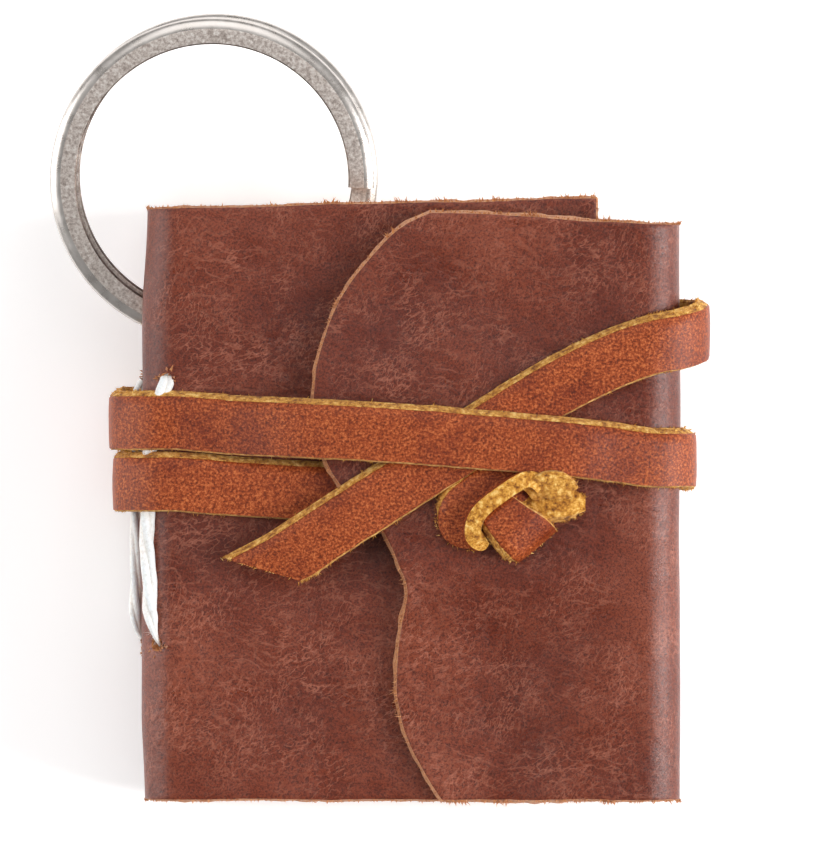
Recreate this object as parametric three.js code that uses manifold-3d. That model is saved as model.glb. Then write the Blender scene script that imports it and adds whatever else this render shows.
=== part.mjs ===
// Key ring: a split ring that carries a miniature leather journal as its fob.
//
// Millimetres, +Z up. The journal lies on its back cover, with its spine at -X, its fore-edge at +X and its head
// at +Y. Every piece is laid out from the tail end of the spine, at the table's level, and the whole model is
// centred over the origin at the end.
//
// How it is made: one sheet of leather is folded round four sewn signatures and on over the front cover as a
// flap. A thong is knotted through a slit in the flap, wound twice round the journal and tucked under itself.
// The ring goes in through a hole punched in the spine, lies between the second and third signatures and comes
// out at the head.
import * as THREE from "three";
import { mergeVertices } from "three/addons/utils/BufferGeometryUtils.js";
import Module from "manifold-3d";

const wasm = await Module();
wasm.setup();

// ---- Driving dimensions ----

const CLEARANCE = 0.1; // between pieces that lie on each other

const LEATHER = 1.3; // thickness of the cover and of the thong
const COVER = { width: 49, height: 54.5, frontWidth: 41.4, corner: 3.2 };

const RING = {
  outerRadius: 15,
  wireWidth: 2.4,
  wireThickness: 1.25,
  turnPitch: 1.3, // from one turn's middle to the other's
  turnOffset: 0.3, // each turn's centre stands this far from the ring's axis
  centre: [6.5, 56.7],
  tilt: 5, // degrees: the side away from the journal is the higher
  tip: -3, // degrees round the ring from +X: where the upper turn ends
  taper: 10, // degrees of the upper turn that are ground down to its tip
  crossing: 40, // degrees in which the wire climbs from one turn to the other
  freeArc: 75, // degrees of the upper turn that lift when the ring is opened
};
const SPINE_HOLE_RADIUS = 2.9;

const SIGNATURES = 4;
const SHEETS = 3; // folded sheets in one signature
const PAPER = 0.25;
const SHEET_PITCH = 0.3;
const FOLD_RADIUS = 0.28; // inside the innermost sheet's fold, where the thread lies
const RING_ROOM = 4.2; // between the second and third signatures
const PAGE = { width: 44.6, height: 51.2, tail: 1.4 };

const CORD_RADIUS = 0.5; // three passes of thread side by side, on the spine
const THREAD_RADIUS = 0.24; // inside the fold
const STITCH = { tail: 14.1, head: 38.2 };

const THONG_WIDTH = 5;

// ---- Levels, from the table up ----

const backBottom = LEATHER + CLEARANCE; // the thong passes under the back cover
const backTop = backBottom + LEATHER;
const signatureHalf = FOLD_RADIUS + SHEETS * SHEET_PITCH - (SHEET_PITCH - PAPER);
const signaturePitch = 2 * signatureHalf + CLEARANCE;
const firstSignature = backTop + 1.5 * CLEARANCE + signatureHalf;
const signatureLevel = (i) => firstSignature + i * signaturePitch + (i >= SIGNATURES / 2 ? RING_ROOM : 0);
const frontBottom = signatureLevel(SIGNATURES - 1) + signatureHalf + 1.5 * CLEARANCE;
const frontTop = frontBottom + LEATHER;
const flapBottom = frontTop + LEATHER + 2 * CLEARANCE; // the thong's first run passes under the flap
const flapTop = flapBottom + LEATHER;
const underFlap = frontTop + CLEARANCE + LEATHER / 2;
const onFlap = flapTop + CLEARANCE + LEATHER / 2;
const overThong = onFlap + LEATHER + CLEARANCE;
const onTable = LEATHER / 2;

const radians = THREE.MathUtils.degToRad;

// ---- Solids ----

// A closed geometry as a solid that can be cut and joined.
function solid(geometry) {
  const g = geometry.clone();
  g.deleteAttribute("normal");
  g.deleteAttribute("uv");
  const merged = mergeVertices(g, 1e-4);
  return new wasm.Manifold(
    new wasm.Mesh({
      numProp: 3,
      vertProperties: merged.attributes.position.array,
      triVerts: new Uint32Array(merged.index.array),
    }),
  );
}

function geometryOf(manifold) {
  const mesh = manifold.getMesh();
  const g = new THREE.BufferGeometry();
  g.setAttribute("position", new THREE.BufferAttribute(mesh.vertProperties, 3));
  g.setIndex(new THREE.BufferAttribute(mesh.triVerts, 1));
  const flat = g.toNonIndexed();
  flat.computeVertexNormals();
  return flat;
}

const cut = (body, ...tools) => tools.reduce((left, tool) => left.subtract(solid(tool)), body);

// A shape drawn in X and Z, run along +Y.
function prismAlongY(shape, from, length) {
  return new THREE.ExtrudeGeometry(shape, { depth: length, bevelEnabled: false, curveSegments: 8 })
    .rotateX(Math.PI / 2)
    .translate(0, from + length, 0);
}

// A shape drawn in X and Y, run along +Z.
function prismAlongZ(shape, from, length) {
  return new THREE.ExtrudeGeometry(shape, { depth: length, bevelEnabled: false, curveSegments: 8 })
    .translate(0, 0, from);
}

// Everything on the left of the line from a to b, between two levels.
function leftOf(a, b, from, to) {
  const along = new THREE.Vector2(b[0] - a[0], b[1] - a[1]);
  const reach = 80;
  return new THREE.BoxGeometry(2 * reach, reach, to - from)
    .translate(0, reach / 2, 0)
    .rotateZ(along.angle())
    .translate(a[0], a[1], (from + to) / 2);
}

// A hole or peg along X.
function rodAlongX(radius, x, length, y, z, sides = 12) {
  return new THREE.CylinderGeometry(radius, radius, length, sides)
    .rotateZ(Math.PI / 2)
    .translate(x, y, z);
}

// Sections of four or more corners, each as a list of points, skinned into one closed body.
function skin(sections) {
  const corners = sections[0].length;
  const at = (i, j) => i * corners + (j % corners);
  const index = [];
  for (let i = 0; i < sections.length - 1; i++)
    for (let j = 0; j < corners; j++)
      index.push(at(i, j), at(i, j + 1), at(i + 1, j + 1), at(i, j), at(i + 1, j + 1), at(i + 1, j));
  const last = sections.length - 1;
  for (let j = 1; j < corners - 1; j++) {
    index.push(at(0, 0), at(0, j + 1), at(0, j));
    index.push(at(last, 0), at(last, j), at(last, j + 1));
  }
  const g = new THREE.BufferGeometry().setFromPoints(sections.flat());
  g.setIndex(index);
  const flat = g.toNonIndexed();
  flat.computeVertexNormals();
  return flat;
}

// A flat strap along a curve through the points. outward(p) is the way its grain side faces at p.
function strap(points, outward, { width = THONG_WIDTH, thickness = LEATHER, perSpan = 3 } = {}) {
  const curve = new THREE.CatmullRomCurve3(points.map((p) => new THREE.Vector3(...p)), false, "centripetal");
  const count = (points.length - 1) * perSpan;
  const sections = [];
  for (let i = 0; i <= count; i++) {
    const p = curve.getPoint(i / count);
    const along = curve.getTangent(i / count);
    const side = new THREE.Vector3().crossVectors(along, outward(p)).normalize();
    const up = new THREE.Vector3().crossVectors(side, along).normalize();
    const corner = (s, u) => {
      const c = p.clone().addScaledVector(side, (s * width) / 2).addScaledVector(up, (u * thickness) / 2);
      return c.setZ(Math.max(c.z, 0)); // it lies flat on the table
    };
    sections.push([corner(-1, -1), corner(-1, 1), corner(1, 1), corner(1, -1)]);
  }
  return skin(sections);
}

const materials = {
  steel: new THREE.MeshStandardMaterial({ name: "nickel_steel", color: 0xb9b2ab, metalness: 1, roughness: 0.35 }),
  cover: new THREE.MeshStandardMaterial({ name: "cover_leather", color: 0x6e4034, roughness: 0.55 }),
  thong: new THREE.MeshStandardMaterial({ name: "thong_leather", color: 0xa0532c, roughness: 0.6 }),
  paper: new THREE.MeshStandardMaterial({ name: "cotton_paper", color: 0xefe6d2, roughness: 0.95 }),
  thread: new THREE.MeshStandardMaterial({ name: "linen_thread", color: 0xf3eee4, roughness: 0.9 }),
};

const model = new THREE.Group();
function add(name, geometry, material, parent = model) {
  const mesh = new THREE.Mesh(geometry, material);
  mesh.name = name;
  parent.add(mesh);
  return mesh;
}

// ---- Split ring ----
// One flat wire, wound twice. It is drawn round its own axis, so the group carries its place and tilt. The upper
// turn runs from its tip all the way round, drops to the lower level in the crossing and goes round once more.

const ringLevel =
  signatureLevel(1) + signatureHalf + RING_ROOM / 2 +
  Math.sin(radians(RING.tilt)) * (RING.centre[1] - COVER.height + 6.3);
const ringGroup = new THREE.Group();
ringGroup.position.set(RING.centre[0], RING.centre[1], ringLevel);
ringGroup.rotation.x = radians(RING.tilt);
model.add(ringGroup);

const wireRadius = RING.outerRadius - RING.wireWidth / 2 - RING.turnOffset / 2;
const smooth = (t) => t * t * (3 - 2 * t);

// The wire's section at an angle, in degrees past the upper turn's tip.
function wireSection(past) {
  const upperEnd = 360 - RING.crossing;
  const drop = smooth(THREE.MathUtils.clamp((past - upperEnd) / RING.crossing, 0, 1));
  const side = 1 - 2 * drop; // +1 on the upper turn, -1 on the lower
  const level = (side * RING.turnPitch) / 2;
  const ground = THREE.MathUtils.clamp(1 - past / RING.taper, 0, 1) * 0.75; // share of thickness taken off the tip
  const angle = radians(RING.tip + past);
  const out = new THREE.Vector3(Math.cos(angle), Math.sin(angle), 0);
  const shift = (-side * RING.turnOffset) / 2;
  const middle = new THREE.Vector3(shift, shift, 0).addScaledVector(out, wireRadius);
  const half = RING.wireWidth / 2;
  const bottom = level - RING.wireThickness / 2;
  const top = bottom + RING.wireThickness * (1 - ground);
  const bevel = Math.min(0.25, (top - bottom) / 3);
  // rounded on the outside, square on the inside, as the wire is drawn
  return [
    [-half, top],
    [half - bevel, top],
    [half, top - bevel],
    [half, bottom + bevel],
    [half - bevel, bottom],
    [-half, bottom],
  ].map(([r, z]) => middle.clone().addScaledVector(out, r).setZ(z));
}

function wire(from, to, step) {
  const count = Math.round((to - from) / step);
  const sections = [];
  for (let i = 0; i <= count; i++) sections.push(wireSection(from + ((to - from) * i) / count));
  return skin(sections);
}

const hingeGap = 0.8; // degrees between the free arc and the rest of the wire
const wireEnd = 720 - RING.crossing - 6;
add("ring_wire", wire(RING.freeArc + hingeGap, wireEnd, 7.5), materials.steel, ringGroup);
add("ring_free_end", wire(0, RING.freeArc, 5), materials.steel, ringGroup);

// ---- Leather cover ----
// One sheet: front cover, spine, back cover, fore-edge and flap, drawn as the section across the journal.

const innerCorner = COVER.corner - LEATHER;
const coverSection = new THREE.Shape();
coverSection.moveTo(COVER.frontWidth, frontBottom);
coverSection.lineTo(COVER.frontWidth, frontTop);
coverSection.absarc(COVER.corner, frontTop - COVER.corner, COVER.corner, Math.PI / 2, Math.PI, false);
coverSection.absarc(COVER.corner, backBottom + COVER.corner, COVER.corner, Math.PI, 1.5 * Math.PI, false);
const foreEdge = COVER.width - COVER.corner;
coverSection.absarc(foreEdge, backBottom + COVER.corner, COVER.corner, -Math.PI / 2, 0, false);
coverSection.absarc(foreEdge, flapTop - COVER.corner, COVER.corner, 0, Math.PI / 2, false);
coverSection.lineTo(14, flapTop);
coverSection.lineTo(14, flapBottom);
coverSection.absarc(foreEdge, flapTop - COVER.corner, innerCorner, Math.PI / 2, 0, true);
coverSection.absarc(foreEdge, backBottom + COVER.corner, innerCorner, 0, -Math.PI / 2, true);
coverSection.absarc(COVER.corner, backBottom + COVER.corner, innerCorner, 1.5 * Math.PI, Math.PI, true);
coverSection.absarc(COVER.corner, frontTop - COVER.corner, innerCorner, Math.PI, Math.PI / 2, true);
coverSection.closePath();

// The flap's free edge is cut by hand in a long wave. What lies on its spine side is taken away.
const waveEdge = [
  [29.5, 55.5],
  [28.2, 53.1],
  [24.3, 51.6],
  [20.2, 48],
  [17, 42.6],
  [15.6, 36.5],
  [17.2, 29.4],
  [22.2, 24.3],
  [24.2, 18.6],
  [23.2, 10.6],
  [24.5, 4.7],
  [28, -0.6],
];
const offFlap = new THREE.Shape();
offFlap.moveTo(waveEdge[0][0], waveEdge[0][1]);
offFlap.splineThru(waveEdge.slice(1).map((p) => new THREE.Vector2(...p)));
offFlap.lineTo(10, -1);
offFlap.lineTo(10, 56);
offFlap.closePath();

const SLIT = { x: 32, y: 27, width: 2.3, length: 5.6 };
const slitCut = new THREE.BoxGeometry(SLIT.width, SLIT.length, 4).translate(SLIT.x, SLIT.y, flapTop - LEATHER / 2);

// Where the ring's middle line meets the spine.
const spineX = LEATHER / 2 - RING.centre[0];
const spineDrop = Math.sqrt((RING.outerRadius - RING.wireWidth / 2) ** 2 - spineX ** 2);
const spineHole = rodAlongX(
  SPINE_HOLE_RADIUS, 0, 8,
  RING.centre[1] - spineDrop,
  ringLevel - Math.sin(radians(RING.tilt)) * spineDrop,
  20,
);

const midLevel = (frontTop + flapBottom) / 2;
const foreEdgeHead = new THREE.BoxGeometry(10, 10, 12).translate(COVER.width + 5 - 7, 52.2 + 5, frontBottom);
let cover = solid(prismAlongY(coverSection, 0, COVER.height));
cover = cut(
  cover,
  prismAlongZ(offFlap, midLevel, 4),
  leftOf([0, 53.6], [COVER.frontWidth, COVER.height], frontBottom - 4, midLevel), // head edge of the front cover
  leftOf([0, 53.6], [COVER.width, 52.2], 0, frontBottom - 4), // and of the back cover
  leftOf([28.2, 53.1], [COVER.width, 52.2], midLevel, flapTop + 1), // and of the flap
  foreEdgeHead,
  slitCut,
  spineHole,
);
const sewingHoles = [];
for (let i = 0; i < SIGNATURES; i++)
  for (const y of [STITCH.tail, STITCH.head])
    sewingHoles.push(rodAlongX(CORD_RADIUS + 0.15, 0, 8, y, signatureLevel(i)));
cover = cut(cover, ...sewingHoles);
add("leather_cover", geometryOf(cover), materials.cover);

// ---- Pages ----
// Each sheet is folded once at the spine and nested in the next, and the sewing holes go through every fold.

const foldX = LEATHER + 4 * CLEARANCE; // where the outermost fold begins
function foldedSheet(level, nesting) {
  const inner = FOLD_RADIUS + nesting * SHEET_PITCH;
  const outer = inner + PAPER;
  const centreX = foldX + signatureHalf;
  const end = foldX + PAGE.width - nesting * 0.15;
  const s = new THREE.Shape();
  s.moveTo(end, level + inner);
  s.lineTo(end, level + outer);
  s.absarc(centreX, level, outer, Math.PI / 2, 1.5 * Math.PI, false);
  s.lineTo(end, level - outer);
  s.lineTo(end, level - inner);
  s.absarc(centreX, level, inner, 1.5 * Math.PI, Math.PI / 2, true);
  s.closePath();
  return prismAlongY(s, PAGE.tail, PAGE.height);
}

for (let i = 0; i < SIGNATURES; i++)
  for (let k = 0; k < SHEETS; k++) {
    const nesting = SHEETS - 1 - k; // sheet 1 is the outermost
    const holes = [STITCH.tail, STITCH.head].map((y) =>
      rodAlongX(CORD_RADIUS + 0.1, foldX, 2 * signatureHalf, y, signatureLevel(i)),
    );
    const sheet = cut(solid(foldedSheet(signatureLevel(i), nesting)), ...holes);
    add(`signature_${i + 1}_sheet_${k + 1}`, geometryOf(sheet), materials.paper);
  }

// ---- Binding threads ----
// A long stitch for each signature: thick on the spine, through both holes, and thin along the inside of the fold.

function roundSection(centre, along, radius, sides = 8) {
  const side = new THREE.Vector3(0, 0, 1);
  const up = new THREE.Vector3().crossVectors(side, along).normalize();
  return Array.from({ length: sides }, (_, k) => {
    const a = (-2 * Math.PI * k) / sides;
    return centre.clone().addScaledVector(side, radius * Math.cos(a)).addScaledVector(up, radius * Math.sin(a));
  });
}

function stitch(level) {
  const outside = -CORD_RADIUS - 0.12;
  const inside = foldX + signatureHalf;
  const r = CORD_RADIUS;
  const turn = 1.1; // how far from each hole the stitch bends
  const route = [
    // x, y, radius
    [inside, STITCH.tail + 2.5, THREAD_RADIUS],
    [inside, STITCH.tail + 0.1, THREAD_RADIUS],
    [foldX, STITCH.tail, 0.8 * r],
    [outside + 0.5, STITCH.tail, 0.8 * r],
    [outside, STITCH.tail + turn, r],
    [outside, STITCH.head - turn, r],
    [outside + 0.5, STITCH.head, 0.8 * r],
    [foldX, STITCH.head, 0.8 * r],
    [inside, STITCH.head - 0.1, THREAD_RADIUS],
    [inside, STITCH.tail + 3.2, THREAD_RADIUS],
  ];
  const points = route.map(([x, y]) => new THREE.Vector3(x, y, level));
  const sections = points.map((p, i) => {
    const before = points[Math.max(i - 1, 0)];
    const after = points[Math.min(i + 1, points.length - 1)];
    return roundSection(p, after.clone().sub(before).normalize(), route[i][2]);
  });
  return skin(sections);
}

for (let i = 0; i < SIGNATURES; i++) add(`binding_thread_${i + 1}`, stitch(signatureLevel(i)), materials.thread);

// ---- Thong ----
// One strap from the slit to the tucked end.

// The strap's grain side faces away from the core, the block that the journal's corners are rounded about.
function awayFromCore(p) {
  const top = (p.x < COVER.width / 2 ? frontTop : flapTop) - COVER.corner;
  return new THREE.Vector3(
    p.x - THREE.MathUtils.clamp(p.x, COVER.corner, foreEdge),
    0,
    p.z - THREE.MathUtils.clamp(p.z, backBottom + COVER.corner, top),
  ).normalize();
}

// Points round one corner of the journal, seen from the tail, in degrees up from +X. The strap lies close to the
// covers, and stands out by reach from the spine or the fore-edge.
function bend(x, z, reach, from, to, yFrom, yTo) {
  const STEPS = 4;
  return Array.from({ length: STEPS + 1 }, (_, i) => {
    const a = radians(from + ((to - from) * i) / STEPS);
    const lift = COVER.corner + CLEARANCE + LEATHER / 2;
    return [
      x + (COVER.corner + reach) * Math.cos(a),
      yFrom + ((yTo - yFrom) * i) / STEPS,
      z + lift * Math.sin(a),
    ];
  });
}

// Round the spine, from the front to the back.
const roundSpine = (yFront, yBack, reach) => [
  ...bend(COVER.corner, frontTop - COVER.corner, reach, 90, 180, yFront, yFront),
  [-reach, (yFront + yBack) / 2, (frontTop + backBottom) / 2],
  ...bend(COVER.corner, backBottom + COVER.corner, reach, 180, 270, yBack, yBack),
];

// Round the fore-edge, from the back to the front.
const roundForeEdge = (yBack, yFront, reach) => [
  ...bend(foreEdge, backBottom + COVER.corner, reach, -90, 0, yBack, yBack),
  [foreEdge + COVER.corner + reach, (yBack + yFront) / 2, (flapTop + backBottom) / 2],
  ...bend(foreEdge, flapTop - COVER.corner, reach, 0, 80, yFront, yFront - 0.1),
];

const wrapRoute = [
  [SLIT.x, SLIT.y, flapTop - 0.3],
  [SLIT.x, SLIT.y, flapBottom + 0.1],
  [SLIT.x - 0.7, SLIT.y, underFlap + 0.1],
  [SLIT.x - 3, 27.1, underFlap],
  [24, 27.4, underFlap],
  [10, 28.2, underFlap],
  ...roundSpine(28.7, 29.1, 2),
  [6, 29.2, onTable],
  [24, 29.9, onTable],
  [43, 30.5, onTable],
  ...roundForeEdge(30.6, 30.9, 0.85),
  [42.8, 31.4, onFlap + 0.7],
  [39.5, 31.8, overThong],
  [30, 32.6, overThong],
  [22, 33.2, overThong - 0.2],
  [14.5, 33.6, onFlap + 0.25],
  [8, 33.9, underFlap + 1],
  ...roundSpine(34.3, 34.7, 2.35),
  [6, 35.1, onTable],
  [24, 38.4, onTable],
  [43, 41.5, onTable],
  ...roundForeEdge(41.9, 42.7, 2.05),
  [43.4, 40.1, onFlap],
  [38, 37.5, onFlap],
  [32.6, 34.2, onFlap],
  [26.2, 30.2, onFlap],
  [22.6, 27.9, onFlap],
  [18.6, 25.4, onFlap - 0.02],
];
const tailRoute = [...wrapRoute.slice(-3), [14, 22.5, onFlap - 0.6], [8, 18.6, onFlap - 1.6]];

// The tail lifts along a fold line just clear of the run that holds it down.
const TAIL_FOLD_Y = 28.7;
const foldGap = 0.15;
const high = flapTop - 2;
const belowFold = leftOf([60, TAIL_FOLD_Y + foldGap], [0, TAIL_FOLD_Y + foldGap], high, high + 9);
const aboveFold = leftOf([0, TAIL_FOLD_Y - foldGap], [60, TAIL_FOLD_Y - foldGap], high, high + 9);
const wrapEnd = new THREE.BoxGeometry(16, 80, 9).translate(21, TAIL_FOLD_Y + foldGap - 40, onFlap + 0.2 + 4.5 - 1.2);

add("thong_wrap", geometryOf(cut(solid(strap(wrapRoute, awayFromCore)), wrapEnd)), materials.thong);
const slantedEnd = leftOf([14.9, 19.9], [7.8, 21.7], high - 6, high + 9);
const tail = cut(solid(strap(tailRoute, awayFromCore)), aboveFold, slantedEnd);
add("thong_tail", geometryOf(tail), materials.thong);

// The knot stands on the flap over the slit: a lobe that comes up out of the slit, a turn on its edge round it,
// a turn over both, and the short end with its flesh side up.
const upwards = () => new THREE.Vector3(0, 0, 1);
const awayFromTab = (p) => new THREE.Vector3(p.x - 34, p.y - 24, 0);
const knotParts = [
  strap([[33.2, 28.7, onFlap - 0.05], [31.2, 27.3, onFlap], [29.5, 26.1, onFlap], [28.4, 25.3, onFlap - 0.05]],
    upwards, { width: 4 }),
  strap([[34.8, 28.5, onFlap + 0.8], [33.1, 28, onFlap + 1], [31.5, 26.9, onFlap + 1], [30.5, 25.3, onFlap + 1],
    [30.9, 23.7, onFlap + 0.8]], awayFromTab, { width: 3 }),
  strap([[31.9, 26.9, onFlap + 1.4], [33.3, 25.6, onFlap + 1.8], [34.9, 24.1, onFlap + 1.5], [35.8, 23.3, onFlap + 0.4]],
    upwards),
  strap([[34.6, 26, onFlap + 0.3], [36.8, 26.7, onFlap + 0.4], [39.6, 27.2, onFlap + 0.3]], upwards,
    { width: 3.8 }),
];
const knot = knotParts.map(solid).reduce((all, part) => all.add(part));
add("thong_knot", geometryOf(knot), materials.thong);

// ---- Origin ----
// The origin is under the middle of the whole model, on the table.
const box = new THREE.Box3().setFromObject(model);
const middle = box.getCenter(new THREE.Vector3());
model.position.set(-middle.x, -middle.y, -box.min.z);

export default model;
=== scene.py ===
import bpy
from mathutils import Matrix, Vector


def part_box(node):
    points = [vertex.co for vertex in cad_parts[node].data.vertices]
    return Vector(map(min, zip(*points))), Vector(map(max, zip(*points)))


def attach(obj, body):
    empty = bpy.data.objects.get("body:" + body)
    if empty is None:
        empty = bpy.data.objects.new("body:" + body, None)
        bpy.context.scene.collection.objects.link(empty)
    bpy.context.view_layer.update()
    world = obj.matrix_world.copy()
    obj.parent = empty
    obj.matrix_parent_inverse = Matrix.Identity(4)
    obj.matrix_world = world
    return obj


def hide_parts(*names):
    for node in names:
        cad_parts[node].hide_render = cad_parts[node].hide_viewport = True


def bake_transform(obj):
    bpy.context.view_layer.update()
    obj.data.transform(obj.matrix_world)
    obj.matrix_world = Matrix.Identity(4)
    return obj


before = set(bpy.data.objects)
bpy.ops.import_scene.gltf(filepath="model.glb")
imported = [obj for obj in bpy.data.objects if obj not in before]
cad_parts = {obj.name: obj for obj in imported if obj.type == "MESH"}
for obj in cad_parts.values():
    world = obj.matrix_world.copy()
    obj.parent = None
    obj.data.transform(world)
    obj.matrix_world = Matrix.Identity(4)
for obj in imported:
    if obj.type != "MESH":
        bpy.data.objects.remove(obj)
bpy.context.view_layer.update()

import math
import random

import bmesh
import bpy
import numpy as np
from mathutils import Matrix, Vector, noise

# ---- Camera ----
# The key ring lies on a white table and is seen from straight above, from far enough off that its sides
# hardly show. Sizes here and below are in millimetres from the journal's own corner: x from the spine, y
# from the tail and z from the table.

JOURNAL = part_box("leather_cover")[0]
VIEW_CENTRE, VIEW_LEVEL = (24.8, 33.8), 19  # the level is the front cover's
VIEW_HEIGHT = 77.8  # what the picture takes in at that level, from top to bottom
LENS, SENSOR = 600, 36


def place(x, y, z):
    return Vector((JOURNAL[0] + x / 1000, JOURNAL[1] + y / 1000, z / 1000))


camera = bpy.data.objects.new("camera", bpy.data.cameras.new("camera"))
camera.data.lens = LENS
camera.data.sensor_width = SENSOR
camera.data.clip_start = 0.01
camera.location = place(*VIEW_CENTRE, VIEW_LEVEL + VIEW_HEIGHT * LENS / SENSOR)
bpy.context.scene.collection.objects.link(camera)
bpy.context.scene.camera = camera

# ---- Leather cover ----
# One piece of waxed full-grain cowhide, 1.3 mm thick, cut by hand: a strip that makes the front cover,
# spine, back cover, fore-edge and a flap with a waved end. It is cut flat, punched for the ring and for the
# sewing, and then folded round the pages, so the mesh is made in the same order.

LEATHER = 1.3
CORNER = 3.2
WIDTH = 49.0
FRONT_WIDTH = 41.4
BACK, FRONT, FLAP = 1.4, 17.84, 20.64  # levels of the outer faces
QUARTER = CORNER * math.pi / 2
FOLDS = [  # length of each stretch along the grain side: flat, round a corner, flat and so on
    FRONT_WIDTH - CORNER, QUARTER, FRONT - BACK - 2 * CORNER, QUARTER,
    WIDTH - 2 * CORNER, QUARTER, FLAP - BACK - 2 * CORNER, QUARTER,
]
FLAP_START = sum(FOLDS)
FLAP_WAVE = [  # x and y of the flap's free edge, from tail to head
    (27.9, -0.9), (26.2, 1.7), (24.9, 4), (23.95, 6.3), (23.35, 9), (23.2, 12.2), (23.45, 14.6),
    (24.0, 17.6), (24.2, 19), (23.3, 21.7), (21.95, 24.45), (18.3, 28.3), (16.8, 30.8), (15.7, 35.3),
    (15.75, 38), (16.1, 40), (17.0, 43), (18.6, 46.3), (20.95, 49.4), (23.4, 51.9), (26.2, 53.35),
    (27.8, 54),
]
HEAD_EDGE = (  # lengths along the strip, and how high it is cut there
    [0, 38.2, 58, 105, FLAP_START, FLAP_START + 20],
    [54.7, 53.8, 53.6, 52.2, 52.35, 53.4],
)
FLAP_HEAD = ([0, 0.75, 1], [52.35, 53.3, 53.35])  # the same for the flap, by the share of its reach
FLAP_REACH = 26  # about how far it lies over the front cover
FLAP_SINK = (1.15, 0.5)  # how far it sinks tailwards and headwards of the thong beneath it
THONG_Y = 29.5  # the middle of the thong's first turn
SEWING_Y = (14.1, 38.2)
SEWING_Z = (3.98, 6.34, 12.9, 15.26)
SHOULDER = (56, 72)  # degrees round the spine's front corner to the last stitch's two holes
RING_HOLE = (44.15, 9.22, 2.85)  # y, z, radius
STITCH_HOLE = 0.62  # radius
RIM_OUT, RIM_IN = 0.3, 0.24  # points this far outside or inside a hole's rim are drawn on to it


def spline(points, steps):
    """A smooth curve through the points, with so many steps from each to the next."""
    p = [Vector(q) for q in points]
    p = [2 * p[0] - p[1], *p, 2 * p[-1] - p[-2]]
    curve = []
    for a, b, c, d in zip(p, p[1:], p[2:], p[3:]):
        u, v, w = (max((t - s).length, 1e-9) ** 0.5 for s, t in ((a, b), (b, c), (c, d)))
        leave = ((b - a) / u - (c - a) / (u + v) + (c - b) / v) * v
        arrive = ((c - b) / v - (d - b) / (v + w) + (d - c) / w) * v
        for k in range(steps):
            t = k / steps
            curve.append(
                b * (2 * t**3 - 3 * t**2 + 1) + leave * (t**3 - 2 * t**2 + t)
                + c * (3 * t**2 - 2 * t**3) + arrive * (t**3 - t**2)
            )
    return [*curve, p[-2]]


def ease(low, high, value):
    """Rises smoothly from 0 at low to 1 at high."""
    t = min(max((value - low) / (high - low), 0), 1)
    return t * t * (3 - 2 * t)


def wander(x, y, z, mm):
    """Smooth unevenness from about -1 to 1, with bumps so many millimetres across."""
    return noise.noise(Vector((x, y, z)) / mm)


def folded(s):
    """Where the flat strip's grain side goes at length s: x, z, and the way it faces, in radians."""
    x, z, facing = FRONT_WIDTH, FRONT, math.pi / 2
    for i, length in enumerate(FOLDS):
        run = min(s, length)
        if i % 2:
            turned = facing + run / CORNER
            x += CORNER * (math.cos(turned) - math.cos(facing))
            z += CORNER * (math.sin(turned) - math.sin(facing))
            facing = turned
        else:
            x, z = x - run * math.sin(facing), z + run * math.cos(facing)
        s -= run
        if s <= 0:
            return x, z, facing
    return x - s, z, facing


def finish_mesh(name, bm, *materials, crisp=38):
    """Makes a named object of a mesh made in millimetres. Edges sharper than crisp degrees stay sharp."""
    bm.normal_update()
    for edge in bm.edges:
        edge.smooth = edge.calc_face_angle(0) < math.radians(crisp)
    for face in bm.faces:
        face.smooth = True
    bm.transform(Matrix.Translation(place(0, 0, 0)) @ Matrix.Diagonal((0.001, 0.001, 0.001, 1)))
    mesh = bpy.data.meshes.new(name)
    bm.to_mesh(mesh)
    bm.free()
    for finish in materials:
        mesh.materials.append(finish)
    made = bpy.data.objects.new(name, mesh)
    bpy.context.scene.collection.objects.link(made)
    return made


FIBRE_FOOT = ((1, 0), (-0.5, 0.87), (-0.5, -0.87))  # a fibre is three-sided, and comes to a point


def fray(bm, roots, length, slot, seed, thickness):
    """Loose fibres along a raw edge. Each root is a point and the way that its fibre leans."""
    dice = random.Random(seed)
    for point, lean in roots:
        tangle = Vector([dice.gauss(0, 1) for _ in range(3)])
        way = (lean.normalized() + tangle * 0.45).normalized()
        reach = length * (0.35 + dice.random() ** 2 * 1.3)
        side = way.orthogonal().normalized() * thickness
        up = way.cross(side)
        foot = [bm.verts.new(point - way * 0.06 + side * c + up * t) for c, t in FIBRE_FOOT]
        tip = bm.verts.new(point + way * reach)
        flanks = [(foot[0], foot[1], tip), (foot[1], foot[2], tip), (foot[2], foot[0], tip)]
        for trio in (*flanks, foot[::-1]):
            bm.faces.new(trio).material_index = slot


wave_line = spline([(x, y, 0) for x, y in FLAP_WAVE], 8)
wave_at = ([p.y for p in wave_line], [p.x for p in wave_line])
COLUMNS, ROWS = 336, 112
flap_column = FLAP_START / (FLAP_START + FLAP_REACH)  # the share of the columns that come before the flap

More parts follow.
